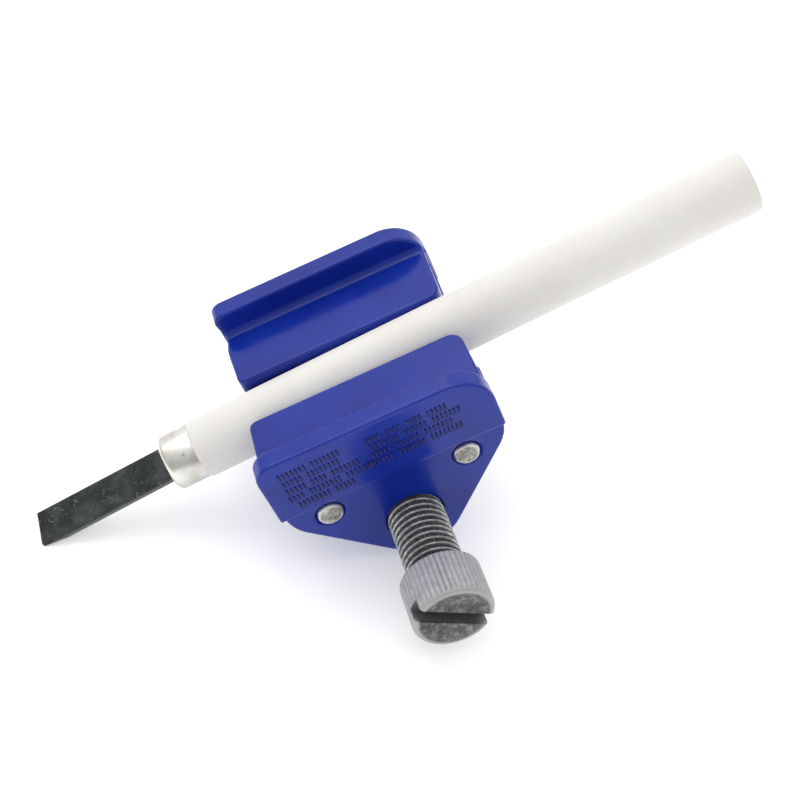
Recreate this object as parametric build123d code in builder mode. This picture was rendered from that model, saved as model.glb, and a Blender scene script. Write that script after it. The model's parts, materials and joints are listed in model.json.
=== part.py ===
from build123d import *
import math
import os

# Side-clamping honing guide gripping a small carving chisel.
# Two mirrored jaws run on two guide rods. A screw with a left-hand thread in the near jaw and a
# right-hand thread in the far jaw closes them evenly about the roller on its plain journal.
#
# Everything is drawn in the level guide frame: X along the tool towards the end of the handle,
# Y across the jaws (the near jaw and the knob are at -Y), Z up, origin at the middle of the roller's
# axis. Each finished piece is then set down in the rest pose, where the guide leans forward on its
# roller until the corner of the blade touches the same flat surface.

# Jaw castings, mm
jaw_front = -19.9
jaw_rear = 20.1
outer_face = 21.0  # middle plane to the raised outer panel
wall_thickness = 3.7
rim_height = 26.4
ledge_height = 21.5  # seat for wide plane irons
panel_bottom = 13.1
panel_relief = 1.15  # how far the panel stands proud of the lower plate
front_corner_radius = 3.2
rear_corner_radius = 7.0
plate_front = -19.2
plate_rear = 19.8
vee_slope = 1.164
vee_depth = 12.97  # where the two vee lines would meet, below the screw
vee_corner_radius = 8.0
vee_tip_radius = 8.5
pocket_face = 13.6  # inner face of the lower plate
pocket_radius = 10.8  # room for the roller
boss_bottom = 4.4
block_inset = 0.95  # block ends set back from the panel's ends
block_draft = 0.45  # taper of each block end, casting draft
inner_corner_front = 1.4
inner_corner_rear = 2.4
edge_round = 0.4
boss_inset = 0.6  # underside of the block set in from the plate's slanting edges
overcut = 1.0  # how far cuts and hidden overlaps run past a face

# Dovetail slot between the jaws
lip_gap = 4.95  # half the opening in the rest pose
lip_depth = 1.5
slot_angle = 17.0
shelf_height = 15.4
shelf_gap = 5.2

# Guide rods
rod_radius = 2.0
rod_spacing = 24.6
rod_height = 9.3
rod_near_end = 20.15
rod_head_radius = 2.35  # hammered over in the near jaw's countersink
rod_far_end = 34.0
rod_chamfer = 0.35
slide_clearance = 0.05
countersink_radius = 2.6
countersink_depth = 0.5

# Clamp screw, roller and knob
near_thread_radius = 4.95  # M10 x 1.25 left hand, drawn at its major diameter
far_thread_radius = 3.95  # M8 x 1.25 right hand, drawn at its major diameter
journal_radius = 4.25
shoulder = 7.3
journal_end = 8.5
ring_thickness = 0.9
ring_groove_radius = 3.6
ring_outer_radius = 5.9
ring_mouth_width = 5.6
screw_far_end = 32.0
screw_end_chamfer = 0.8
knob_back = 33.7
knob_length = 8.7
knob_radius = 6.9
knob_stub_radius = 3.4
knob_stub_length = 5.0
knob_front_chamfer = 0.7
knob_back_chamfer = 0.45
knurl_teeth = 48
knurl_depth = 0.32
knurl_margin = 0.1  # keeps the profile of the chamfers clear of the knurl
knob_slot_width = 2.5
knob_slot_depth = 2.6
knob_slot_angle = -40.0
roller_radius = 9.5
roller_width = 12.7
roller_chamfer = 0.5
bush_outer_radius = 5.6
bush_clearance = 0.04
washer_thickness = 0.8
washer_outer_radius = 7.0
washer_gap = 0.05

# Carving chisel
handle_height = 17.22  # handle's axis above the roller's axis, over the roller
handle_tilt = 2.61  # the handle rises towards its end, degrees from the jaws
handle_radius = 5.27
handle_front = -29.3
handle_end = 73.5
handle_spigot_radius = 4.45
spigot_gap = 1.5  # from the ferrule's front to the start of the handle's spigot
ferrule_radius = 5.02
ferrule_front = -35.15
ferrule_wall = 0.55
ferrule_round = 1.0
handle_end_round = 0.4
handle_front_round = 0.35
blade_width = 6.0
blade_thickness = 1.7
blade_length = 26.2  # from the ferrule to the cutting edge at the near corner
blade_skew = 1.3  # the far corner is this much further back
blade_droop = 2.4  # the blade points down from the handle's axis, degrees
blade_roll = 28.0  # turned about the tool's axis, near side down
bevel_angle = 24.0
blade_root = 1.65  # from the ferrule's front to where the blade narrows to its tang
tang_width = 3.0
tang_end = 21.0  # from the ferrule's front to the end of the tang

plate_face = outer_face - panel_relief
wall_inner = outer_face - wall_thickness
rod_places = [(-rod_spacing / 2, rod_height), (rod_spacing / 2, rod_height)]
os.makedirs("parts", exist_ok=True)


def across(y):
    """Plane at a distance y from the middle plane, facing -Y, drawn in X and Z."""
    return Plane.XZ.offset(-y)


tilt = math.radians(handle_tilt)
tool_plane = Plane(
    origin=(0, 0, handle_height), x_dir=(0, 1, 0), z_dir=(math.cos(tilt), 0, math.sin(tilt))
)
tool_axis = Vector(math.cos(tilt), 0, math.sin(tilt))

# The blade's own plane starts in the middle of the ferrule's front face.
blade_tilt = tilt + math.radians(blade_droop)
blade_axis = Vector(math.cos(blade_tilt), 0, math.sin(blade_tilt))
blade_side = Vector(0, 1, 0).rotate(Axis((0, 0, 0), tuple(blade_axis)), blade_roll)
blade_normal = blade_axis.cross(blade_side)
blade_plane = Plane(
    origin=Vector(0, 0, handle_height) + tool_axis * ferrule_front,
    x_dir=blade_axis,
    z_dir=blade_normal,
)
blade_mid = blade_plane.offset(-blade_thickness / 2)


# Rest pose: lean forward until the blade's corner is as low as the bottom of the roller.
def lean_to_touch(point):
    reach = math.hypot(point.X, point.Z)
    return math.atan2(point.Z, -point.X) + math.asin(roller_radius / reach)


bevel_length = blade_thickness / math.tan(math.radians(bevel_angle))
edge_corner = blade_plane.from_local_coords((-blade_length, -blade_width / 2, blade_thickness / 2))
heel_corner = blade_plane.from_local_coords(
    (bevel_length - blade_length, -blade_width / 2, -blade_thickness / 2)
)
lean = math.degrees(min(lean_to_touch(edge_corner), lean_to_touch(heel_corner)))
rest_pose = Location((0, 0, roller_radius), (0, -lean, 0))
print(f"guide leans {lean:.2f} degrees in the rest pose")


def hand_over(piece, name):
    """Name a finished piece, set it down in the rest pose and write its STEP file."""
    placed = piece.part.moved(rest_pose)
    placed.label = name
    export_step(placed, f"parts/{name}.step")


# ---- Jaw casting, drawn on the far side (+Y) and without its bores ----
slot_run = (ledge_height - lip_depth - shelf_height) * math.tan(math.radians(slot_angle))
block_front = jaw_front + block_inset
block_rear = jaw_rear - block_inset

with BuildPart() as block:
    # ledge on top and the dovetail slot on the inner face
    with BuildSketch(Plane.YZ):
        with BuildLine():
            Polyline(
                (wall_inner + overcut, ledge_height),
                (lip_gap, ledge_height),
                (lip_gap, ledge_height - lip_depth),
                (lip_gap + slot_run, shelf_height),
                (shelf_gap, shelf_height),
                (shelf_gap, boss_bottom),
                (wall_inner + overcut, boss_bottom),
                close=True,
            )
        make_face()
    extrude(amount=jaw_rear - jaw_front, both=True)
    # ends of the block, tapered and rounded at the inner corners
    with BuildSketch() as block_plan:
        with BuildLine():
            Polyline(
                (block_front - block_draft, wall_inner + overcut),
                (block_front, lip_gap),
                (block_rear, lip_gap),
                (block_rear + block_draft, wall_inner + overcut),
                close=True,
            )
        make_face()
        fillet(block_plan.vertices().group_by(Axis.Y)[0].sort_by(Axis.X)[-1], inner_corner_rear)
        fillet(block_plan.vertices().group_by(Axis.Y)[0].sort_by(Axis.X)[0], inner_corner_front)
    extrude(amount=rim_height, mode=Mode.INTERSECT)
    ledge_edges = block.edges().group_by(Axis.Z)[-1]
    fillet(ledge_edges.sort_by(Axis.Y)[:-1], edge_round)
    # underside parallel to the vee, so that the rod bosses keep an even wall
    with BuildSketch(across(wall_inner + overcut)):
        boss_half = (boss_bottom + vee_depth) / vee_slope - boss_inset
        side_top = vee_slope * (block_rear + boss_inset) - vee_depth
        with BuildLine():
            Polyline(
                (block_front - overcut, rim_height),
                (block_front - overcut, side_top),
                (-boss_half, boss_bottom),
                (boss_half, boss_bottom),
                (block_rear + overcut, side_top),
                (block_rear + overcut, rim_height),
                close=True,
            )
        make_face()
    extrude(amount=wall_inner + overcut, mode=Mode.INTERSECT)
    # pocket for the roller
    with BuildSketch(across(pocket_face)):
        Circle(pocket_radius)
        with Locations((0, -pocket_radius)):
            Rectangle(2 * pocket_radius, 2 * pocket_radius)
    extrude(amount=pocket_face, mode=Mode.SUBTRACT)

with BuildPart() as casting:
    # wall with its rim, whose outer face is the raised panel
    with BuildSketch(across(outer_face)) as panel:
        with Locations(((jaw_front + jaw_rear) / 2, (panel_bottom + rim_height) / 2)):
            Rectangle(jaw_rear - jaw_front, rim_height - panel_bottom)
        fillet(panel.vertices().group_by(Axis.Y)[-1].sort_by(Axis.X)[-1], rear_corner_radius)
        fillet(panel.vertices().group_by(Axis.Y)[-1].sort_by(Axis.X)[0], front_corner_radius)
    extrude(amount=wall_thickness)
    broad_faces = casting.faces().filter_by(Axis.Y)
    fillet(broad_faces.edges(), edge_round)
    # lower vee plate
    with BuildSketch(across(plate_face)) as vee:
        with BuildLine():
            Polyline(
                (plate_front, ledge_height - overcut),
                (plate_front, vee_slope * -plate_front - vee_depth),
                (0, -vee_depth),
                (plate_rear, vee_slope * plate_rear - vee_depth),
                (plate_rear, ledge_height - overcut),
                close=True,
            )
        make_face()
        fillet(vee.vertices().sort_by(Axis.Y)[0], vee_tip_radius)
        fillet(vee.vertices().sort_by(Axis.Y)[2:4], vee_corner_radius)
    extrude(amount=plate_face - pocket_face)
    add(block.part)


def cut_jaw(side, rod_bore, screw_bore):
    """Finished jaw on one side: -1 near, +1 far."""
    with BuildPart() as jaw:
        add(casting.part if side > 0 else mirror(casting.part, about=Plane.XZ))
        with BuildSketch(across(side * (outer_face + overcut))):
            with Locations(*rod_places):
                Circle(rod_bore)
            Circle(screw_bore)
        extrude(amount=side * (outer_face + overcut), mode=Mode.SUBTRACT)
        for x, z in rod_places:
            with BuildSketch(across(side * plate_face)):
                with Locations((x, z)):
                    Circle(countersink_radius)
            extrude(amount=side * countersink_depth, mode=Mode.SUBTRACT)
    return jaw


near_jaw = cut_jaw(-1, rod_radius, near_thread_radius + slide_clearance)
hand_over(near_jaw, "near_jaw")

far_jaw = cut_jaw(1, rod_radius + slide_clearance, far_thread_radius + slide_clearance)
hand_over(far_jaw, "far_jaw")

# ---- Guide rods, fixed in the near jaw and free to slide in the far jaw ----
for name, place in zip(("guide_rod_front", "guide_rod_rear"), rod_places):
    with BuildPart() as rod:
        with BuildSketch(across(rod_far_end)):
            with Locations(place):
                Circle(rod_radius)
        extrude(amount=rod_far_end + rod_near_end)
        chamfer(rod.edges().filter_by(GeomType.CIRCLE).sort_by(Axis.Y)[-1], rod_chamfer)
        with BuildSketch(across(countersink_depth - plate_face)):
            with Locations(place):
                Circle(rod_head_radius)
        extrude(amount=rod_near_end - plate_face + countersink_depth)
        chamfer(rod.edges().filter_by(GeomType.CIRCLE).sort_by(Axis.Y)[0], rod_chamfer)
    hand_over(rod, name)

# ---- Clamp screw: near thread, journal with a ring groove, far thread ----
with BuildPart() as clamp_screw:
    with BuildSketch(Plane.XY):
        with BuildLine():
            Polyline(
                (0, -knob_back - knob_stub_length),
                (knob_stub_radius, -knob_back - knob_stub_length),
                (knob_stub_radius, -knob_back),
                (near_thread_radius, -knob_back),
                (near_thread_radius, -shoulder),
                (journal_radius, -shoulder),
                (journal_radius, shoulder),
                (ring_groove_radius, shoulder),
                (ring_groove_radius, shoulder + ring_thickness),
                (journal_radius, shoulder + ring_thickness),
                (journal_radius, journal_end),
                (far_thread_radius, journal_end),
                (far_thread_radius, screw_far_end - screw_end_chamfer),
                (far_thread_radius - screw_end_chamfer, screw_far_end),
                (0, screw_far_end),
                close=True,
            )
        make_face()
    revolve(axis=Axis.Y)
hand_over(clamp_screw, "clamp_screw")

# ---- Knob: straight knurl, chamfered ends and a screwdriver slot ----
with BuildPart() as clamp_knob:
    with BuildSketch(across(-knob_back)):
        with BuildLine():
            tooth_tips = [
                (knob_radius - knurl_depth * (i % 2), i * 180 / knurl_teeth)
                for i in range(2 * knurl_teeth)
            ]
            Polyline(
                *[
                    (r * math.cos(math.radians(a)), r * math.sin(math.radians(a)))
                    for r, a in tooth_tips
                ],
                close=True,
            )
        make_face()
    extrude(amount=knob_length)
    # both ends turned to a chamfer through the knurl
    with BuildSketch(Plane.XY):
        with BuildLine():
            Polyline(
                (0, -knob_back),
                (knob_radius - knob_back_chamfer, -knob_back),
                (knob_radius + knurl_margin, -knob_back - knob_back_chamfer),
                (knob_radius + knurl_margin, -knob_back - knob_length + knob_front_chamfer),
                (knob_radius - knob_front_chamfer, -knob_back - knob_length),
                (0, -knob_back - knob_length),
                close=True,
            )
        make_face()
    revolve(axis=Axis.Y, mode=Mode.INTERSECT)
    with BuildSketch(across(-knob_back)):
        Circle(knob_stub_radius)
    extrude(amount=knob_stub_length, mode=Mode.SUBTRACT)
    with BuildSketch(across(-knob_back - knob_length)):
        Rectangle(3 * knob_radius, knob_slot_width, rotation=knob_slot_angle)
    extrude(amount=-knob_slot_depth, mode=Mode.SUBTRACT)
hand_over(clamp_knob, "clamp_knob")

# ---- Roller with its bush ----
with BuildPart() as roller:
    with BuildSketch(across(roller_width / 2)):
        Circle(roller_radius)
        Circle(bush_outer_radius, mode=Mode.SUBTRACT)
    extrude(amount=roller_width)
    rims = roller.edges().filter_by(GeomType.CIRCLE).group_by(SortBy.RADIUS)[-1]
    chamfer(rims, roller_chamfer)
hand_over(roller, "roller")

with BuildPart() as roller_bush:
    with BuildSketch(across(roller_width / 2)):
        Circle(bush_outer_radius)
        Circle(journal_radius + bush_clearance, mode=Mode.SUBTRACT)
    extrude(amount=roller_width)
hand_over(roller_bush, "roller_bush")

# ---- Thrust washers on both sides of the roller, and the ring that keeps them on ----
washer_start = roller_width / 2 + washer_gap
for name, far_plane in (
    ("thrust_washer_near", -washer_start),
    ("thrust_washer_far", washer_start + washer_thickness),
):
    with BuildPart() as washer:
        with BuildSketch(across(far_plane)):
            Circle(washer_outer_radius)
            Circle(journal_radius + bush_clearance, mode=Mode.SUBTRACT)
        extrude(amount=washer_thickness)
    hand_over(washer, name)

with BuildPart() as retaining_ring:
    with BuildSketch(across(shoulder + ring_thickness)):
        Circle(ring_outer_radius)
        Circle(ring_groove_radius, mode=Mode.SUBTRACT)
        with Locations((0, ring_outer_radius)):
            Rectangle(ring_mouth_width, 2 * ring_outer_radius, mode=Mode.SUBTRACT)
    extrude(amount=ring_thickness)
hand_over(retaining_ring, "retaining_ring")

# ---- Chisel blade with a skewed edge, a bevel underneath and a tang ----
with BuildPart() as chisel_blade:
    with BuildSketch(blade_mid):
        with BuildLine():
            Polyline(
                (-blade_length, -blade_width / 2),
                (blade_root, -blade_width / 2),
                (blade_root, -tang_width / 2),
                (tang_end, -tang_width / 2),
                (tang_end, tang_width / 2),
                (blade_root, tang_width / 2),
                (blade_root, blade_width / 2),
                (blade_skew - blade_length, blade_width / 2),
                close=True,
            )
        make_face()
    extrude(amount=blade_thickness)
    far_edge = blade_plane.from_local_coords(
        (blade_skew - blade_length, blade_width / 2, blade_thickness / 2)
    )
    along_edge = (far_edge - edge_corner).normalized()
    back_from_edge = along_edge.cross(blade_normal)
    bevel = math.radians(bevel_angle)
    bevel_normal = back_from_edge * math.sin(bevel) + blade_normal * math.cos(bevel)
    split(bisect_by=Plane(origin=edge_corner, z_dir=bevel_normal), keep=Keep.TOP)
hand_over(chisel_blade, "chisel_blade")

# ---- Ferrule: a drawn cup with a slot for the blade ----
with BuildPart() as ferrule:
    with BuildSketch(tool_plane.offset(ferrule_front)):
        Circle(ferrule_radius)
    extrude(amount=handle_front - ferrule_front)
    front_rim = ferrule.edges().filter_by(GeomType.CIRCLE).sort_by(Axis.X)[0]
    fillet(front_rim, ferrule_round)
    with BuildSketch(tool_plane.offset(ferrule_front + ferrule_wall)):
        Circle(handle_spigot_radius)
    extrude(amount=handle_front - ferrule_front, mode=Mode.SUBTRACT)
    with BuildSketch(blade_mid):
        Rectangle(2 * blade_root, blade_width)
    extrude(amount=blade_thickness, mode=Mode.SUBTRACT)
hand_over(ferrule, "ferrule")

# ---- Handle: a plain turned dowel with a spigot for the ferrule and a slit for the tang ----
spigot_start = ferrule_front + spigot_gap
with BuildPart() as handle:
    with BuildSketch(tool_plane.offset(handle_front)):
        Circle(handle_radius)
    extrude(amount=handle_end - handle_front)
    ends = handle.edges().filter_by(GeomType.CIRCLE).sort_by(Axis.X)
    fillet(ends[-1], handle_end_round)
    fillet(ends[0], handle_front_round)
    with BuildSketch(tool_plane.offset(spigot_start)):
        Circle(handle_spigot_radius)
    extrude(amount=handle_front - spigot_start)
    with BuildSketch(blade_mid):
        Rectangle(2 * blade_root, blade_width)
        Rectangle(2 * tang_end, tang_width)
    extrude(amount=blade_thickness, mode=Mode.SUBTRACT)
hand_over(handle, "handle")
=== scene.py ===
import json
import math
import random

import bmesh
import bpy
from mathutils import Matrix, Vector, noise


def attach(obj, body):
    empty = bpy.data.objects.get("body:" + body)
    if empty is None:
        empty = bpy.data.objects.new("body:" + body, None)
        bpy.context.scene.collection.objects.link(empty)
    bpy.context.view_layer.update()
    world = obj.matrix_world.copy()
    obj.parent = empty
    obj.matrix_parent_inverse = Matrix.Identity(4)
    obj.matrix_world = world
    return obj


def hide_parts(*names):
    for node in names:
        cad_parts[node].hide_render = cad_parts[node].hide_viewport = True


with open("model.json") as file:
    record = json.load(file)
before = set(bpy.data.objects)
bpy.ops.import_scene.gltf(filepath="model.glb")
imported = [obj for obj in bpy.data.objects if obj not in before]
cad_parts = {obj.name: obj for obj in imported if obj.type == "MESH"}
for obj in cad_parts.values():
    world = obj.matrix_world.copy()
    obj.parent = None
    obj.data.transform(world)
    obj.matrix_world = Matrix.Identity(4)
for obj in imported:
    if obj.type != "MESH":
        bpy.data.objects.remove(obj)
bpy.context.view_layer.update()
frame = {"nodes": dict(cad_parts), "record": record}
nodes = frame["nodes"]
random.seed(11)

# ------------------------------------------------------------------ frames
# The guide's own level frame, in mm: X along the tool, -Y the knob's side, Z up, origin in the
# middle of the roller's axis. In the rest pose it leans forward by LEAN.
MM = 0.001
ledge_up = next(m for m in frame["record"]["mounts"] if m["name"] == "near_ledge")["axis"]
LEAN = math.atan2(-ledge_up[0], ledge_up[2])
ROLLER_RADIUS = 9.5
GUIDE = (
    Matrix.Translation((0, 0, ROLLER_RADIUS * MM))
    @ Matrix.Rotation(-LEAN, 4, "Y")
    @ Matrix.Scale(MM, 4)
)
ACROSS = GUIDE @ Matrix.Rotation(math.radians(90), 4, "Z")  # local X runs along the guide's +Y
HANDLE_HEIGHT = 17.22
HANDLE_TILT = math.radians(2.61)
HANDLE_FRONT = -29.3
HANDLE_END = 73.5
FERRULE_FRONT = -35.15
BLADE_ROLL = math.radians(28)
BLADE_DROOP = math.radians(2.4)
TOOL = (
    GUIDE
    @ Matrix.Translation((0, 0, HANDLE_HEIGHT))
    @ Matrix.Rotation(-HANDLE_TILT, 4, "Y")
)
BLADE = (
    TOOL
    @ Matrix.Translation((FERRULE_FRONT, 0, 0))
    @ Matrix.Rotation(-BLADE_DROOP, 4, "Y")
    @ Matrix.Rotation(BLADE_ROLL, 4, "X")
)

# sizes of the pieces, mm, as in the CAD part or a hair inside it
OUTER_FACE = 21.0
WALL_INNER = 17.3
LEDGE_HEIGHT = 21.5
RIM_HEIGHT = 26.4
PANEL_BOTTOM = 13.1
BLOCK_FRONT = -18.95
BLOCK_REAR = 19.15
ROD_RADIUS = 2.0
ROD_HEIGHT = 9.3
ROD_X = 12.3
NEAR_THREAD_RADIUS = 4.95
FAR_THREAD_RADIUS = 3.95
THREAD_PITCH = 1.25
THREAD_DEPTH = 0.7
JOURNAL_RADIUS = 4.25
SHOULDER = 7.3
RING_GROOVE_RADIUS = 3.6
RING_GROOVE_END = 8.2
JOURNAL_END = 8.5
SCREW_FAR_END = 32.0
SCREW_CHAMFER = 0.8
KNOB_BACK = 33.7
KNOB_FRONT = 42.4
KNOB_RADIUS = 6.9
KNOB_STUB_RADIUS = 3.4
KNOB_STUB_END = 38.7
KNURL_TEETH = 48
KNURL_DEPTH = 0.32
SLOT_WIDTH = 2.5
SLOT_DEPTH = 2.6
SLOT_ANGLE = math.radians(-40)
ROD_NEAR_END = -20.15
ROD_FAR_END = 34.0
ROD_HEAD_RADIUS = 2.3
ROD_HEAD_LENGTH = 0.75
HANDLE_RADIUS = 5.24
HANDLE_SPIGOT_RADIUS = 4.43
HANDLE_FRONT_ROUNDING = 0.3
HANDLE_END_ROUNDING = 0.5
BLADE_TIP = -26.2
BLADE_ROOT = 1.6
BLADE_SKEW = 1.3
BLADE_HALF_WIDTH = 3.0
BLADE_THICKNESS = 1.7
BEVEL_ANGLE = math.radians(24)
TANG_HALF_WIDTH = 1.5
TANG_END = 20.9

# a sudden change of a turned piece's radius lies between two stations STEP apart, mm
STEP = 0.02
HALF_STEP = STEP / 2

# faces of a box whose corners are listed with z changing fastest and x slowest
BOX_FACES = [(0, 1, 3, 2), (4, 6, 7, 5), (0, 4, 5, 1), (2, 3, 7, 6), (0, 2, 6, 4), (1, 5, 7, 3)]


def smoothstep(low, high, value):
    t = min(1.0, max(0.0, (value - low) / (high - low)))
    return t * t * (3 - 2 * t)


# ------------------------------------------------------------------ mesh helpers
def new_object(name, verts, faces, matrix, smooth=True):
    mesh = bpy.data.meshes.new(name)
    mesh.from_pydata([tuple(matrix @ Vector(v)) for v in verts], [], faces)
    mesh.validate()
    mesh.update()
    obj = bpy.data.objects.new(name, mesh)
    bpy.context.scene.collection.objects.link(obj)
    if smooth:
        mesh.polygons.foreach_set("use_smooth", [True] * len(mesh.polygons))
    return obj


def fix_normals(obj):
    bm = bmesh.new()
    bm.from_mesh(obj.data)
    bmesh.ops.recalc_face_normals(bm, faces=bm.faces)
    bm.to_mesh(obj.data)
    bm.free()


def turned(name, stations, radius_at, matrix, segments):
    """A turned piece round the local X axis; radius_at(station, angle) gives its radius."""
    verts, faces = [], []
    for s in stations:
        for k in range(segments):
            a = 2 * math.pi * k / segments
            r = radius_at(s, a)
            verts.append((s, r * math.cos(a), r * math.sin(a)))
    for i in range(len(stations) - 1):
        for k in range(segments):
            a, b = i * segments + k, i * segments + (k + 1) % segments
            faces.append((a, b, b + segments, a + segments))
    for s, base in ((stations[0], 0), (stations[-1], (len(stations) - 1) * segments)):
        centre = len(verts)
        verts.append((s, 0, 0))
        faces += [(base + k, base + (k + 1) % segments, centre) for k in range(segments)]
    obj = new_object(name, verts, faces, matrix)
    fix_normals(obj)
    return obj


def apply_modifiers(obj):
    bpy.context.view_layer.update()
    graph = bpy.context.evaluated_depsgraph_get()
    mesh = bpy.data.meshes.new_from_object(obj.evaluated_get(graph))
    obj.modifiers.clear()
    obj.data = mesh
    mesh.polygons.foreach_set("use_smooth", [True] * len(mesh.polygons))


def soften(obj, voxel, passes):
    """Rounds all edges of a closed solid a little, as a casting's or a worn part's are."""
    remesh = obj.modifiers.new("remesh", "REMESH")
    remesh.mode, remesh.voxel_size = "VOXEL", voxel * MM
    smooth = obj.modifiers.new("smooth", "SMOOTH")
    smooth.factor, smooth.iterations = 0.5, passes
    apply_modifiers(obj)


def bevel_edges(obj, width, min_angle):
    """A small bevel, width in mm, on edges sharper than min_angle degrees."""
    bevel = obj.modifiers.new("bevel", "BEVEL")
    bevel.width, bevel.segments, bevel.limit_method = width * MM, 2, "ANGLE"
    bevel.angle_limit = math.radians(min_angle)
    return bevel


def spread(start, end, step):
    """Even stations from start to end, about step apart."""
    count = max(1, round(abs(end - start) / step))
    return [start + (end - start) * i / count for i in range(count + 1)]


def box_corners(xs, ys, zs):
    return [(x, y, z) for x in xs for y in ys for z in zs]


# ------------------------------------------------------------------ material helpers
class Look:
    """A node material with short calls for the nodes used here."""

    def __init__(self, name):
        self.mat = bpy.data.materials.new(name)
        self.mat.use_nodes = True
        self.tree = self.mat.node_tree
        self.bsdf = self.tree.nodes["Principled BSDF"]
        self.place = self.tree.nodes.new("ShaderNodeTexCoord").outputs["Object"]

    def link(self, source, target):
        self.tree.links.new(source, target)

    def put(self, socket, value):
        if isinstance(value, bpy.types.NodeSocket):
            self.link(value, socket)
        else:
            socket.default_value = value

    def mapped(self, scale, rotation=(0, 0, 0)):
        node = self.tree.nodes.new("ShaderNodeMapping")
        self.link(self.place, node.inputs["Vector"])
        node.inputs["Scale"].default_value = scale
        node.inputs["Rotation"].default_value = rotation
        return node.outputs["Vector"]

    def noise(self, size, detail=4.0, rough=0.55, vector=None):
        """Noise whose blobs are about size mm."""
        node = self.tree.nodes.new("ShaderNodeTexNoise")
        self.link(vector or self.place, node.inputs["Vector"])
        node.inputs["Scale"].default_value = 1 / (size * MM)
        node.inputs["Detail"].default_value = detail
        node.inputs["Roughness"].default_value = rough
        return node.outputs["Fac"]

    def ramp(self, value, *stops):
        """Colour or grey by value; stops are (position, grey or colour)."""
        node = self.tree.nodes.new("ShaderNodeValToRGB")
        self.link(value, node.inputs["Fac"])
        band = node.color_ramp
        while len(band.elements) < len(stops):
            band.elements.new(0.5)
        for element, (position, colour) in zip(band.elements, stops):
            element.position = position
            if not isinstance(colour, (tuple, list)):
                colour = (colour, colour, colour)
            element.color = (*colour, 1)
        return node.outputs["Color"]

    def mix(self, factor, a, b):
        """Colour a where factor is 0, colour b where it is 1."""
        node = self.tree.nodes.new("ShaderNodeMix")
        node.data_type = "RGBA"
        self.put(node.inputs["Factor"], factor)
        for socket, value in ((node.inputs[6], a), (node.inputs[7], b)):
            if isinstance(value, tuple) and len(value) == 3:
                value = (*value, 1)
            self.put(socket, value)
        return node.outputs[2]

    def maths(self, operation, a, b=0.5):
        node = self.tree.nodes.new("ShaderNodeMath")
        node.operation = operation
        self.put(node.inputs[0], a)
        self.put(node.inputs[1], b)
        return node.outputs[0]

    def edges(self, low, high):
        """1 on convex edges, 0 on flat and hollow places."""
        geometry = self.tree.nodes.new("ShaderNodeNewGeometry")
        return self.ramp(geometry.outputs["Pointiness"], (low, 0.0), (high, 1.0))

    def span(self, value, low, high):
        """0 below low, 1 above high; with low above high it falls instead."""
        node = self.tree.nodes.new("ShaderNodeMapRange")
        self.link(value, node.inputs["Value"])
        node.inputs["From Min"].default_value = low
        node.inputs["From Max"].default_value = high
        return node.outputs["Result"]

    def screw_axis_place(self):
        """Distance from the screw's axis and place along it, both in mm."""
        split = self.tree.nodes.new("ShaderNodeSeparateXYZ")
        self.link(self.place, split.inputs[0])
        across = self.maths("POWER", split.outputs["X"], 2.0)
        height = self.maths("SUBTRACT", split.outputs["Z"], ROLLER_RADIUS * MM)
        radius = self.maths("SQRT", self.maths("ADD", across, self.maths("POWER", height, 2.0)))
        return self.maths("DIVIDE", radius, MM), self.maths("DIVIDE", split.outputs["Y"], MM)

    def set(self, **values):
        for key, value in values.items():
            socket = self.bsdf.inputs[key.replace("_", " ")]
            if isinstance(value, tuple) and socket.type == "RGBA":
                value = (*value, 1)
            self.put(socket, value)

    def bump(self, height, depth, strength=1.0, after=None):
        """Fine relief; depth in mm."""
        node = self.tree.nodes.new("ShaderNodeBump")
        node.inputs["Strength"].default_value = strength
        node.inputs["Distance"].default_value = depth * MM
        self.link(height, node.inputs["Height"])
        if after is not None:
            self.link(after, node.inputs["Normal"])
        self.link(node.outputs["Normal"], self.bsdf.inputs["Normal"])
        return node.outputs["Normal"]


def wear(obj, look):
    obj.data.materials.clear()
    obj.data.materials.append(look.mat)


# ------------------------------------------------------------------ materials
def paint_look():
    """Glossy blue enamel, chipped on a few edges."""
    look = Look("blue_stove_enamel")
    broad = look.noise(9, 3)
    blue = look.mix(
        look.ramp(broad, (0.35, 0.0), (0.65, 1.0)), (0.004, 0.02, 0.27), (0.006, 0.027, 0.325)
    )
    # small chips down to the metal, only along edges
    chips = look.maths(
        "MULTIPLY",
        look.edges(0.54, 0.62),
        look.ramp(look.noise(2.2, 5, 0.7), (0.7, 0.0), (0.73, 1.0)),
    )
    # faint rubbed places
    scuff = look.ramp(look.noise(0.9, 4, 0.6), (0.7, 0.0), (0.85, 0.12))
    blue = look.mix(scuff, blue, (0.1, 0.13, 0.42))
    colour = look.mix(chips, blue, (0.42, 0.4, 0.36))
    look.set(
        Base_Color=colour,
        Roughness=look.ramp(look.noise(3, 4), (0.3, 0.14), (0.7, 0.24)),
        Specular_IOR_Level=0.38,
        Metallic=look.maths("MULTIPLY", chips, 0.8),
    )
    orange_peel = look.bump(look.noise(1.1, 2, 0.4), 0.012, 0.25)
    look.bump(look.noise(0.35, 3), 0.005, 0.25, after=orange_peel)
    return look


def steel_look(name, dark, light, grain_axis):
    """Ground steel with fine lines along one axis and a few dull stains."""
    look = Look(name)
    scale = [1.0, 1.0, 1.0]
    scale[grain_axis] = 0.06
    lines = look.noise(0.25, 5, 0.7, look.mapped(scale=tuple(scale)))
    blotch = look.noise(2.4, 5, 0.65)
    base = look.mix(look.ramp(lines, (0.3, 0.0), (0.7, 1.0)), dark, light)
    base = look.mix(look.ramp(blotch, (0.56, 0.0), (0.75, 0.6)), base, (0.2, 0.19, 0.17))
    look.set(
        Base_Color=base,
        Metallic=0.95,
        Roughness=look.ramp(blotch, (0.3, 0.28), (0.7, 0.5)),
    )
    look.bump(lines, 0.008, 0.4)
    return look


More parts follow.
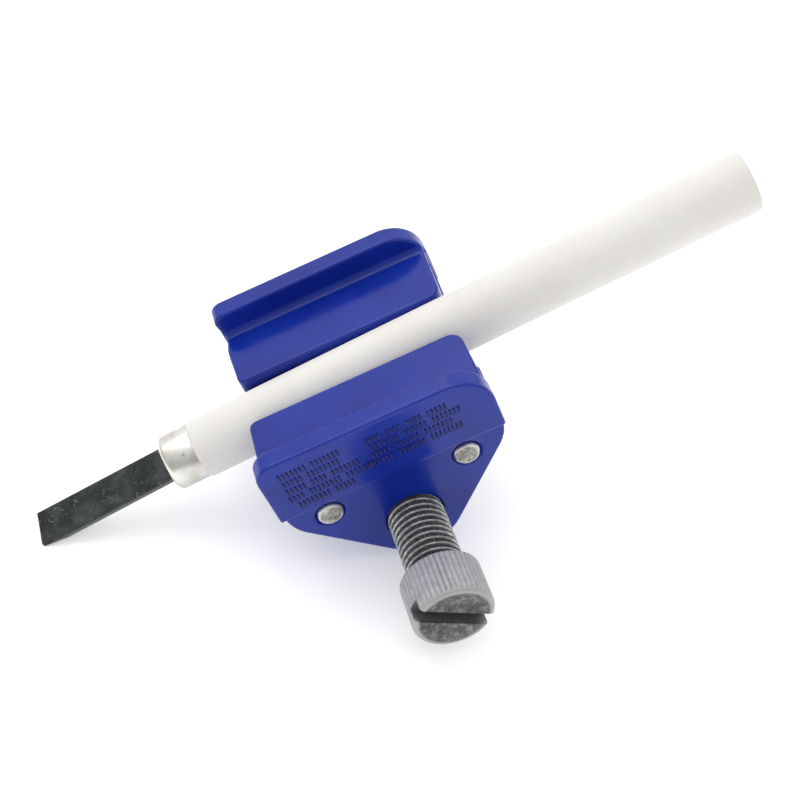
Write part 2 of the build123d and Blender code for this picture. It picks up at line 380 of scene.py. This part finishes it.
def thread_look():
    """Crests painted bright, partly worn metal and partly painted highlight, over dark flanks:
    painted shade in the thread's roots.
    """
    look = Look("threaded_steel")
    grime = look.noise(0.9, 5, 0.7)
    radius, along = look.screw_axis_place()
    near_crest, far_crest = (
        look.span(radius, major - 0.3, major - 0.07)
        for major in (NEAR_THREAD_RADIUS, FAR_THREAD_RADIUS)
    )
    on_far_side = look.span(along, SHOULDER, JOURNAL_END)
    crest_here = look.mix(on_far_side, near_crest, far_crest)
    # painted highlight, partly worn metal: the crests are coloured bright grey by their distance
    # from the axis
    crest = look.mix(
        look.ramp(grime, (0.35, 0.0), (0.66, 1.0)), (0.66, 0.66, 0.66), (0.22, 0.22, 0.215)
    )
    # painted shade: the flanks and roots are coloured near black, with specks
    speck = look.ramp(look.noise(0.4, 6, 0.75), (0.42, 0.0), (0.62, 1.0))
    flank = look.mix(speck, (0.035, 0.04, 0.042), (0.15, 0.155, 0.16))
    base = look.mix(crest_here, flank, crest)
    look.set(
        Base_Color=base,
        Metallic=look.ramp(crest_here, (0.0, 0.4), (1.0, 0.9)),
        Roughness=look.ramp(grime, (0.3, 0.3), (0.7, 0.5)),
    )
    look.bump(look.noise(0.3, 5, 0.7), 0.02, 0.5)
    return look


def knob_look():
    """Grey plated side with painted shade in its knurl valleys, and a dark pitted face inside a
    bright ring.
    """
    look = Look("cast_nickel_grey")
    mottle = look.noise(1.3, 7, 0.74)
    specks = look.noise(0.45, 6, 0.75)
    radius, along = look.screw_axis_place()
    side = look.ramp(mottle, (0.3, (0.36, 0.36, 0.375)), (0.66, (0.52, 0.52, 0.535)))
    # painted shade: the knurl's valleys are coloured darker than its teeth
    valley_shade = look.span(radius, KNOB_RADIUS - KNURL_DEPTH - 0.02, KNOB_RADIUS - 0.06)
    side = look.mix(valley_shade, (0.2, 0.2, 0.215), side)
    face = look.ramp(
        mottle, (0.32, (0.045, 0.045, 0.045)), (0.5, (0.11, 0.11, 0.11)), (0.68, (0.3, 0.3, 0.3))
    )
    face = look.mix(look.ramp(specks, (0.3, 0.7), (0.42, 0.0)), face, (0.05, 0.05, 0.05))
    # the worn ring round the face is bright
    ring = look.span(radius, KNOB_RADIUS - 1.25, KNOB_RADIUS - 0.75)
    face = look.mix(ring, face, (0.42, 0.42, 0.42))
    front = look.span(along, -KNOB_FRONT + 1.0, -KNOB_FRONT + 0.45)
    base = look.mix(front, side, face)
    # painted shade: the slot's floor and walls are coloured dark
    slot = look.maths(
        "MULTIPLY",
        look.span(along, -KNOB_FRONT + 0.25, -KNOB_FRONT + 0.6),
        look.span(radius, KNOB_RADIUS - 0.5, KNOB_RADIUS - 0.9),
    )
    base = look.mix(slot, base, look.mix(mottle, (0.08, 0.095, 0.09), (0.22, 0.24, 0.235)))
    look.set(
        Base_Color=base,
        Metallic=0.45,
        Roughness=look.ramp(mottle, (0.3, 0.6), (0.7, 0.42)),
    )
    rough = look.bump(mottle, 0.05, 0.5)
    look.bump(specks, 0.03, 0.6, after=rough)
    return look


def peened_look():
    look = Look("peened_rod_end")
    mottle = look.noise(1.1, 6, 0.7)
    base = look.ramp(
        mottle, (0.34, (0.14, 0.13, 0.11)), (0.5, (0.34, 0.33, 0.3)), (0.66, (0.66, 0.66, 0.63))
    )
    look.set(Base_Color=base, Metallic=0.6, Roughness=0.45)
    look.bump(look.noise(0.5, 5, 0.7), 0.05, 0.7)
    return look


def wood_look():
    """White paint on turned wood, with faint grain along the handle and a little grey dirt."""
    look = Look("white_painted_wood")
    along = look.mapped(scale=(0.05, 1, 1), rotation=(0, LEAN + HANDLE_TILT, 0))
    grain = look.noise(0.5, 5, 0.65, along)
    cloud = look.noise(11, 4, 0.5)
    base = look.mix(
        look.ramp(cloud, (0.3, 0.0), (0.72, 1.0)), (0.87, 0.85, 0.81), (0.82, 0.795, 0.745)
    )
    base = look.mix(look.ramp(grain, (0.52, 0.0), (0.8, 0.22)), base, (0.62, 0.57, 0.48))
    grey = look.ramp(look.noise(4.5, 6, 0.7), (0.6, 0.0), (0.8, 0.3))
    base = look.mix(grey, base, (0.6, 0.57, 0.53))
    look.set(
        Base_Color=base,
        Roughness=look.ramp(grain, (0.3, 0.42), (0.7, 0.56)),
        Specular_IOR_Level=0.28,
        Subsurface_Weight=0.04,
        Subsurface_Radius=(0.001, 0.0008, 0.0006),
    )
    look.bump(grain, 0.02, 0.35)
    return look


def ferrule_look():
    look = Look("nickelled_ferrule")
    ring = look.noise(0.5, 3, 0.5, look.mapped(scale=(1, 0.05, 0.05)))
    haze = look.noise(2.4, 4, 0.5)
    base = look.mix(
        look.ramp(haze, (0.35, 0.0), (0.7, 1.0)), (0.8, 0.79, 0.75), (0.6, 0.58, 0.51)
    )
    spots = look.ramp(look.noise(1.6, 3, 0.6), (0.68, 0.0), (0.74, 1.0))
    base = look.mix(look.maths("MULTIPLY", spots, 0.7), base, (0.2, 0.19, 0.14))
    look.set(Base_Color=base, Metallic=0.9, Roughness=look.ramp(haze, (0.3, 0.24), (0.7, 0.34)))
    look.bump(ring, 0.003, 0.25)
    return look


def blade_look():
    """Blackened steel with clouds and patches of pale specks."""
    look = Look("oil_blacked_blade")
    cloud = look.noise(3.2, 6, 0.65)
    base = look.ramp(
        cloud,
        (0.3, (0.018, 0.021, 0.021)),
        (0.5, (0.035, 0.039, 0.04)),
        (0.7, (0.075, 0.081, 0.083)),
    )
    specks = look.ramp(look.noise(0.6, 5, 0.75), (0.57, 0.0), (0.66, 1.0))
    patches = look.ramp(look.noise(4.0, 2), (0.42, 0.0), (0.58, 1.0))
    specks = look.maths("MULTIPLY", specks, patches)
    base = look.mix(look.maths("MULTIPLY", specks, 0.7), base, (0.32, 0.35, 0.35))
    # painted highlight: the blade's sharp edges are coloured paler
    base = look.mix(look.edges(0.508, 0.54), base, (0.085, 0.095, 0.095))
    look.set(
        Base_Color=base,
        Metallic=0.35,
        Roughness=look.ramp(cloud, (0.3, 0.5), (0.7, 0.38)),
        Specular_IOR_Level=0.28,
    )
    fine = look.bump(look.noise(0.5, 5, 0.7), 0.02, 0.5)
    look.bump(cloud, 0.05, 0.3, after=fine)
    return look


def brass_look():
    look = Look("bush_brass")
    blotch = look.noise(1.6, 5, 0.6)
    base = look.mix(look.ramp(blotch, (0.4, 0.0), (0.7, 1.0)), (0.62, 0.45, 0.2), (0.4, 0.27, 0.11))
    look.set(Base_Color=base, Metallic=0.95, Roughness=look.ramp(blotch, (0.3, 0.25), (0.7, 0.45)))
    look.bump(look.noise(0.3, 4), 0.008, 0.4)
    return look


def mark_look():
    """The same blue, darker and duller, for the raised bars: the darker colour is painted shade
    round the bars.
    """
    look = Look("raised_marks_dull_with_painted_shade")
    patch = look.noise(1.0, 4)
    # painted shade: the bars are coloured darker than the enamel
    base = look.mix(
        look.ramp(patch, (0.4, 0.0), (0.65, 1.0)), (0.003, 0.006, 0.075), (0.005, 0.013, 0.24)
    )
    look.set(Base_Color=base, Roughness=0.5, Specular_IOR_Level=0.35)
    look.bump(look.noise(0.3, 4), 0.02, 0.4)
    return look


paint = paint_look()
rod_steel = steel_look("rod_steel", (0.5, 0.5, 0.49), (0.68, 0.68, 0.67), 1)
roller_steel = steel_look("roller_steel", (0.42, 0.42, 0.41), (0.62, 0.62, 0.6), 0)
thread = thread_look()
knob_grey = knob_look()
peened = peened_look()
wood = wood_look()
nickel = ferrule_look()
black_steel = blade_look()
brass = brass_look()
marks = mark_look()


# ------------------------------------------------------------------ jaws
def cove(side):
    """Quarter-round fillet where the wall stands on the ledge, as a closed strip."""
    radius, steps, embed, past_end = 1.3, 8, 0.6, 0.35
    outline = [(WALL_INNER + embed, LEDGE_HEIGHT - embed)]
    for i in range(steps + 1):
        a = math.pi / 2 * i / steps
        y = WALL_INNER - radius + radius * math.sin(a)
        z = LEDGE_HEIGHT + radius - radius * math.cos(a)
        outline.append((y, z))
    count = len(outline)
    ends = (BLOCK_FRONT - past_end, BLOCK_REAR + past_end)
    verts = [(x, side * y, z) for x in ends for y, z in outline]
    faces = [tuple(range(count)), tuple(range(2 * count - 1, count - 1, -1))]
    for k in range(count):
        n = (k + 1) % count
        faces.append((k, n, n + count, k + count))
    return verts, faces


def draw_back_front_end(obj):
    """The far casting's front end is fettled back under its rim, most just above the ledge."""
    fade_start, fade_end = -19.4, -14
    deepest_height, inner_side = 22.8, 13
    inner_draw, wall_draw = 0.35, 0.75
    to_guide = GUIDE.inverted()
    for vertex in obj.data.vertices:
        place = to_guide @ vertex.co
        if place.x > fade_end or place.z < PANEL_BOTTOM:
            continue
        end = 1 - smoothstep(fade_start, fade_end, place.x)
        below_rim = 1 - smoothstep(deepest_height, RIM_HEIGHT, place.z)
        towards_wall = smoothstep(inner_side, WALL_INNER + 0.4, place.y)
        place.x += end * below_rim * (inner_draw + wall_draw * towards_wall)
        vertex.co = GUIDE @ place


def jaw(name, node, side):
    """The CAD casting with a cove added, remeshed so that every edge is slightly rounded."""
    source = nodes[node].data
    verts = [v.co.copy() for v in source.vertices]
    faces = [tuple(p.vertices) for p in source.polygons]
    cove_verts, cove_faces = cove(side)
    base = len(verts)
    verts += [GUIDE @ Vector(v) for v in cove_verts]
    faces += [tuple(base + i for i in f) for f in cove_faces]
    obj = new_object(name, verts, faces, Matrix.Identity(4))
    bm = bmesh.new()
    bm.from_mesh(obj.data)
    bmesh.ops.remove_doubles(bm, verts=bm.verts, dist=1e-6)
    bmesh.ops.recalc_face_normals(bm, faces=bm.faces)
    bm.to_mesh(obj.data)
    bm.free()
    soften(obj, 0.17, 7)
    if side > 0:
        draw_back_front_end(obj)
    wear(obj, paint)
    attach(obj, node)
    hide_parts(node)


jaw("near_jaw_casting", "near_jaw", -1)
jaw("far_jaw_casting", "far_jaw", 1)


def bar(x, z):
    """One upright bar of the raised pattern, slightly narrower at its face; verts and faces."""
    width, height, taper = 0.42, 1.35, 0.07
    foot, face = -OUTER_FACE + 0.15, -OUTER_FACE - 0.22
    verts = []
    for y, inset in ((foot, 0), (face, taper)):
        left, right = x + inset, x + width - inset
        low, high = z - height / 2 + inset, z + height / 2 - inset
        verts += [(left, y, low), (right, y, low), (right, y, high), (left, y, high)]
    faces = [(3, 2, 1, 0), (4, 5, 6, 7)]
    for k in range(4):
        n = (k + 1) % 4
        faces.append((k, n, n + 4, k + 4))
    return verts, faces


def raised_marks():
    """Rows of small upright bars cast on the near panel: a plain pattern, no lettering."""
    pitch = 0.72
    blocks = (
        # left end, right end, heights of the rows
        (-17.2, -4.8, (23.2, 21.3, 19.4, 17.5, 15.6)),
        (-2.6, 12.6, (22.9, 21.1, 19.3, 17.5)),
    )
    verts, faces = [], []
    for left, right, rows in blocks:
        for z in rows:
            x = left + random.uniform(0, 1.5)
            stop = right - random.uniform(0, 2.5)
            while x < stop:
                for _ in range(random.randint(4, 8)):
                    bar_verts, bar_faces = bar(x, z)
                    faces += [tuple(len(verts) + i for i in face) for face in bar_faces]
                    verts += bar_verts
                    x += pitch
                x += pitch
    obj = new_object("near_jaw_raised_marks", verts, faces, GUIDE, smooth=False)
    fix_normals(obj)
    bevel = obj.modifiers.new("bevel", "BEVEL")
    bevel.width, bevel.segments = 0.05 * MM, 2
    apply_modifiers(obj)
    wear(obj, marks)
    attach(obj, "near_jaw")


raised_marks()


# ------------------------------------------------------------------ guide rods
def rod(name, node, x):
    """A ground rod whose near end is hammered over into its countersink."""
    head_end = ROD_NEAR_END + ROD_HEAD_LENGTH
    stations = [ROD_NEAR_END + step for step in (0.02, 0.05, 0.12, 0.25, 0.45)]
    stations += [head_end, head_end + 0.1, 0, ROD_FAR_END - 0.4, ROD_FAR_END - 0.2, ROD_FAR_END]

    def radius_at(s, a):
        wobble = noise.noise(Vector((math.cos(a) * 1.6 + x, math.sin(a) * 1.6, 3)))
        chamfer = s - ROD_FAR_END + 0.35
        if chamfer > 0:
            return ROD_RADIUS - chamfer
        if s > head_end:
            return ROD_RADIUS - 0.02
        t = (s - ROD_NEAR_END) / ROD_HEAD_LENGTH
        return (ROD_HEAD_RADIUS + 0.12 * wobble) * (0.86 + 0.14 * math.sqrt(min(1, 1.6 * t)))

    place = Matrix.Translation(GUIDE @ Vector((x, 0, ROD_HEIGHT)) - GUIDE @ Vector((0, 0, 0)))
    obj = turned(name, stations, radius_at, place @ ACROSS, 64)
    wear(obj, rod_steel)
    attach(obj, "near_jaw")
    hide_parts(node)
    peened_face(name, x, place @ ACROSS)


def peened_face(name, x, matrix):
    """The hammered end of a rod: a low dome with dents, closed by a flat cone behind."""
    dome_height, dent_depth = 0.28, 0.1
    rings, segments = 10, 48
    verts, faces = [(0, 0, 0)], []
    for i in range(1, rings + 1):
        out = i / rings
        for k in range(segments):
            a = 2 * math.pi * k / segments
            r = (ROD_HEAD_RADIUS - 0.2) * out
            y, z = r * math.cos(a), r * math.sin(a)
            dent = dent_depth * noise.noise(Vector((y * 0.9 + x, z * 0.9, 7)))
            dome = dome_height * (1 - out**2)
            verts.append((ROD_NEAR_END + 0.1 - dome + dent * (1 - out**4), y, z))
    verts[0] = (verts[1][0], 0, 0)
    for k in range(segments):
        faces.append((0, 1 + k, 1 + (k + 1) % segments))
    for i in range(rings - 1):
        for k in range(segments):
            a, b = 1 + i * segments + k, 1 + i * segments + (k + 1) % segments
            faces.append((a, b, b + segments, a + segments))
    centre = len(verts)
    verts.append((ROD_NEAR_END + 0.4, 0, 0))
    last = centre - segments
    faces += [(last + (k + 1) % segments, last + k, centre) for k in range(segments)]
    face = new_object(name + "_peened_face", verts, faces, matrix)
    fix_normals(face)
    wear(face, peened)
    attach(face, "near_jaw")


rod("guide_rod_front_ground", "guide_rod_front", -ROD_X)
rod("guide_rod_rear_ground", "guide_rod_rear", ROD_X)


# ------------------------------------------------------------------ clamp screw
def ridge(phase):
    """Height of a 60 degree thread over its root, 0 to 1, with a narrow worn crest."""
    crest, flank = 0.07, 0.33
    away = abs(phase % 1.0 - 0.5)
    return 1 - min(1.0, max(0.0, (away - crest) / flank))


def screw_radius(s, a):
    """Stub, left-hand thread, journal, ring groove, journal and right-hand thread in turn."""
    if s < -KNOB_BACK - HALF_STEP:
        return KNOB_STUB_RADIUS
    if s < -SHOULDER - HALF_STEP:
        height = ridge((s + THREAD_PITCH * a / (2 * math.pi)) / THREAD_PITCH + 0.5)
        worn = 0.05 * noise.noise(Vector((s * 0.7, math.cos(a) * 2, math.sin(a) * 2)))
        return NEAR_THREAD_RADIUS - THREAD_DEPTH * (1 - height) - abs(worn) * height
    if s < SHOULDER + HALF_STEP:
        return JOURNAL_RADIUS
    if s < RING_GROOVE_END + HALF_STEP:
        return RING_GROOVE_RADIUS
    if s < JOURNAL_END + HALF_STEP:
        return JOURNAL_RADIUS
    height = ridge((s - THREAD_PITCH * a / (2 * math.pi)) / THREAD_PITCH)
    chamfer = max(0.0, s - (SCREW_FAR_END - SCREW_CHAMFER))
    return min(FAR_THREAD_RADIUS - THREAD_DEPTH * (1 - height), FAR_THREAD_RADIUS - chamfer)


thread_spacing = THREAD_PITCH / 14
screw_stations = (
    [-KNOB_STUB_END, -KNOB_BACK - STEP]
    + spread(-KNOB_BACK, -SHOULDER - STEP, thread_spacing)
    + [-SHOULDER, SHOULDER - STEP, SHOULDER, SHOULDER + STEP]
    + [RING_GROOVE_END, RING_GROOVE_END + STEP, JOURNAL_END]
    + spread(JOURNAL_END + STEP, SCREW_FAR_END, thread_spacing)
)
spindle = turned("clamp_screw_threaded", sorted(set(screw_stations)), screw_radius, ACROSS, 112)
wear(spindle, thread)
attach(spindle, "screw")
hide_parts("clamp_screw")


# ------------------------------------------------------------------ knob
def knob_radius(s, a):
    """Knurled round the side, rounded at the front edge and chamfered at the back."""
    front_length, front_drop, front_rise = 1.3, 0.72, 0.75
    back_chamfer, back_slope = 0.5, 1.1
    lobe = abs(math.sin(KNURL_TEETH * a / 2))
    r = KNOB_RADIUS - KNURL_DEPTH * (1 - lobe**0.55)
    front = min(1.0, (s + KNOB_FRONT) / front_length)
    arc = math.sqrt(max(0.0, 1 - (1 - front) ** 2))
    r = min(r, KNOB_RADIUS - front_drop + front_rise * arc)
    back = -KNOB_BACK - s
    return min(r, KNOB_RADIUS - back_chamfer + back * back_slope)


def knob():
    stations = (
        spread(-KNOB_FRONT, -KNOB_FRONT + 1.4, 0.1)
        + spread(-KNOB_FRONT + 1.6, -KNOB_BACK - 0.8, 0.5)
        + spread(-KNOB_BACK - 0.6, -KNOB_BACK, 0.1)
    )
    obj = turned("clamp_knob_knurled", sorted(set(stations)), knob_radius, ACROSS, KNURL_TEETH * 10)
    # screwdriver slot, cut by a box that reaches past the knob on all open sides
    half_width, half_length, clear = SLOT_WIDTH / 2, 9.0, 1.0
    corners = box_corners(
        (-half_length, half_length), (-clear, SLOT_DEPTH), (-half_width, half_width)
    )
    slot_place = (
        GUIDE @ Matrix.Translation((0, -KNOB_FRONT, 0)) @ Matrix.Rotation(-SLOT_ANGLE, 4, "Y")
    )
    cutter = new_object("slot_cutter", corners, BOX_FACES, slot_place, smooth=False)
    fix_normals(cutter)
    cut = obj.modifiers.new("slot", "BOOLEAN")
    cut.operation, cut.object, cut.solver = "DIFFERENCE", cutter, "EXACT"
    apply_modifiers(obj)
    bpy.data.objects.remove(cutter)
    soften(obj, 0.09, 3)
    wear(obj, knob_grey)
    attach(obj, "screw")
    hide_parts("clamp_knob")


knob()


# ------------------------------------------------------------------ handle
def handle_radius(s, a):
    # the stretch that slides between the jaws stays within the CAD radius; behind it the wood swells
    swell, swell_start, front_depth = 0.15, 34, 0.25
    r = HANDLE_RADIUS + swell * smoothstep(swell_start, HANDLE_END, s)
    r += 0.02 * noise.noise(Vector((s * 0.08, math.cos(a) * 1.2, math.sin(a) * 1.2)))
    if s < HANDLE_FRONT - HALF_STEP:
        return HANDLE_SPIGOT_RADIUS
    into_end = s - (HANDLE_END - HANDLE_END_ROUNDING)
    if into_end > 0:
        arc = math.sqrt(max(0.0, 1 - (into_end / HANDLE_END_ROUNDING) ** 2))
        r -= HANDLE_END_ROUNDING * (1 - arc)
    into_front = HANDLE_FRONT + HANDLE_FRONT_ROUNDING - s
    if into_front > 0:
        arc = math.sqrt(max(0.0, 1 - (into_front / HANDLE_FRONT_ROUNDING) ** 2))
        r -= front_depth * (1 - arc)
    return r


handle = turned(
    "handle_turned",
    [FERRULE_FRONT + 1.6, HANDLE_FRONT - STEP]
    + spread(HANDLE_FRONT, HANDLE_FRONT + HANDLE_FRONT_ROUNDING, 0.06)
    + spread(HANDLE_FRONT + 1, HANDLE_END - 1, 0.9)
    + spread(HANDLE_END - HANDLE_END_ROUNDING, HANDLE_END - STEP, 0.06),
    handle_radius,
    TOOL,
    112,
)
wear(handle, wood)
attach(handle, "tool")
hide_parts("handle")


# ------------------------------------------------------------------ blade
def blade_heights(x, y, start):
    """Top and underside of the blade; its underside is ground up to the edge at start."""
    bevel_length = BLADE_THICKNESS / math.tan(BEVEL_ANGLE)
    wave = 0.035 * noise.noise(Vector((x * 0.5, y * 0.7, 0)))
    ripple = 0.012 * noise.noise(Vector((x * 2.1, y * 2.4, 4)))
    top = BLADE_THICKNESS / 2 - 0.02 + wave + ripple
    ground = min(1.0, (x - start) / bevel_length)
    low = BLADE_THICKNESS / 2 - 0.06 - (BLADE_THICKNESS - 0.08) * ground
    return top, min(low, top - 0.05)


def blade():
    """Blade with its tang, flat on top and ground to an edge below; finely divided for wear."""
    columns, rows = 110, 22
    corner_wear, corner_start = 0.55, -0.84
    tops, undersides, faces = [], [], []
    for i in range(columns + 1):
        for j in range(rows + 1):
            across = j / rows * 2 - 1
            start = BLADE_TIP + BLADE_SKEW * (across + 1) / 2
            # the near corner is worn round
            if across < corner_start:
                start += corner_wear * smoothstep(corner_start, -1.0, across)
            x = start + (BLADE_ROOT - start) * i / columns
            y = BLADE_HALF_WIDTH * across
            top, low = blade_heights(x, y, start)
            tops.append((x, y, top))
            undersides.append((x, y, low))
    verts = tops + undersides
    width = rows + 1
    sheet = len(tops)
    for i in range(columns):
        for j in range(rows):
            a = i * width + j
            b = a + sheet
            faces.append((a, a + width, a + width + 1, a + 1))
            faces.append((b, b + 1, b + width + 1, b + width))
    rim = (
        [i * width for i in range(columns + 1)]
        + [columns * width + j for j in range(1, rows + 1)]
        + [i * width + rows for i in range(columns - 1, -1, -1)]
        + list(range(rows - 1, 0, -1))
    )
    for k, a in enumerate(rim):
        b = rim[(k + 1) % len(rim)]
        faces.append((a, b, b + sheet, a + sheet))
    # tang inside the handle
    faces += [tuple(len(verts) + i for i in face) for face in BOX_FACES]
    half_thickness = BLADE_THICKNESS / 2 - 0.1
    verts += box_corners(
        (BLADE_ROOT - 0.5, TANG_END),
        (-TANG_HALF_WIDTH, TANG_HALF_WIDTH),
        (-half_thickness, half_thickness),
    )
    obj = new_object("chisel_blade_ground", verts, faces, BLADE, smooth=False)
    fix_normals(obj)
    bevel_edges(obj, 0.09, 40)
    apply_modifiers(obj)
    wear(obj, black_steel)
    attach(obj, "tool")
    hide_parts("chisel_blade")


blade()


# ------------------------------------------------------------------ CAD nodes that stay
def keep(node, look, bevel_width):
    """A CAD node shown as it is, with a small bevel on its edges."""
    obj = nodes[node]
    weld = obj.modifiers.new("weld", "WELD")
    weld.merge_threshold = 1e-6
    bevel_edges(obj, bevel_width, 35).harden_normals = True
    wear(obj, look)


keep("ferrule", nickel, 0.08)
keep("roller", roller_steel, 0.08)
keep("roller_bush", brass, 0.08)
keep("thrust_washer_near", rod_steel, 0.06)
keep("thrust_washer_far", rod_steel, 0.06)
keep("retaining_ring", rod_steel, 0.06)


# ------------------------------------------------------------------ stage, light and camera
def floor():
    """A plain pale sheet, in metres, a hair below the roller so that the two don't share a place."""
    half, drop = 4, 0.00002
    corners = [(-half, -half, 0), (half, -half, 0), (half, half, 0), (-half, half, 0)]
    sink = Matrix.Translation((0, 0, -drop))
    obj = new_object("floor", corners, [(0, 1, 2, 3)], sink, smooth=False)
    look = Look("pale_floor")
    shade = look.ramp(look.noise(60, 2), (0.3, 0.93), (0.7, 0.95))
    look.set(
        Base_Color=shade,
        Roughness=0.9,
        Specular_IOR_Level=0.1,
        Emission_Color=(1.0, 1.0, 1.0),
        Emission_Strength=0.33,
    )
    wear(obj, look)


def area_light(name, place, target, size, power):
    lamp = bpy.data.lights.new(name, "AREA")
    lamp.shape, lamp.size, lamp.energy = "SQUARE", size, power
    obj = bpy.data.objects.new(name, lamp)
    obj.location = place
    aim = Vector(target) - Vector(place)
    obj.rotation_euler = aim.to_track_quat("-Z", "Y").to_euler()
    bpy.context.scene.collection.objects.link(obj)


def studio():
    """A white dome, brightest overhead and behind the object, dimmer in front, pale low down."""
    brightest_way = (0.05, 0.45, 0.89)
    dome_stops = ((0.0, 0.38), (0.5, 0.66), (0.95, 1.0))
    haze_top, haze_grey, strength = 0.16, 0.8, 1.22
    world = bpy.data.worlds.new("studio")
    world.use_nodes = True
    tree = world.node_tree
    back = tree.nodes["Background"]
    place = tree.nodes.new("ShaderNodeTexCoord")
    towards = tree.nodes.new("ShaderNodeVectorMath")
    towards.operation = "DOT_PRODUCT"
    towards.inputs[1].default_value = brightest_way
    ramp = tree.nodes.new("ShaderNodeValToRGB")
    tree.links.new(place.outputs["Generated"], towards.inputs[0])
    tree.links.new(towards.outputs["Value"], ramp.inputs["Fac"])
    band = ramp.color_ramp
    band.elements.new(0.5)
    for element, (position, grey) in zip(band.elements, dome_stops):
        element.position, element.color = position, (grey, grey, grey, 1)
    # a pale haze low down, so that the floor runs into the dome without a hard line
    split = tree.nodes.new("ShaderNodeSeparateXYZ")
    tree.links.new(place.outputs["Generated"], split.inputs[0])
    haze = tree.nodes.new("ShaderNodeMapRange")
    tree.links.new(split.outputs["Z"], haze.inputs["Value"])
    haze.inputs["From Min"].default_value = 0.0
    haze.inputs["From Max"].default_value = haze_top
    haze.inputs["To Min"].default_value = 1.0
    haze.inputs["To Max"].default_value = 0.0
    sky = tree.nodes.new("ShaderNodeMix")
    sky.data_type = "RGBA"
    tree.links.new(haze.outputs["Result"], sky.inputs["Factor"])
    tree.links.new(ramp.outputs["Color"], sky.inputs[6])
    sky.inputs[7].default_value = (haze_grey, haze_grey, haze_grey, 1)
    tree.links.new(sky.outputs[2], back.inputs["Color"])
    back.inputs["Strength"].default_value = strength
    bpy.context.scene.world = world
    area_light("key_overhead", (-0.15, 0.2, 0.6), (0, 0, 0.02), 0.5, 0.8)


def camera():
    """Placed in the guide's frame, so that the jaws keep their place in the picture."""
    data = bpy.data.cameras.new("camera")
    data.sensor_width, data.lens = 36, 67.5
    data.clip_start, data.clip_end = 0.01, 10
    obj = bpy.data.objects.new("camera", data)
    right = Vector((0.9121, -0.2672, -0.3109))
    down = Vector((-0.408, -0.6657, -0.6248))
    ahead = right.cross(down).normalized()
    down = ahead.cross(right).normalized()
    turn = Matrix((right.normalized(), -down, -ahead)).transposed().to_4x4()
    lean = Matrix.Rotation(-LEAN, 4, "Y")
    place = GUIDE @ Vector((15.65, -182.5, 194.35))
    obj.matrix_world = Matrix.Translation(place) @ lean @ turn
    bpy.context.scene.collection.objects.link(obj)
    bpy.context.scene.camera = obj


floor()
studio()
camera()
bpy.context.scene.view_settings.view_transform = "Standard"
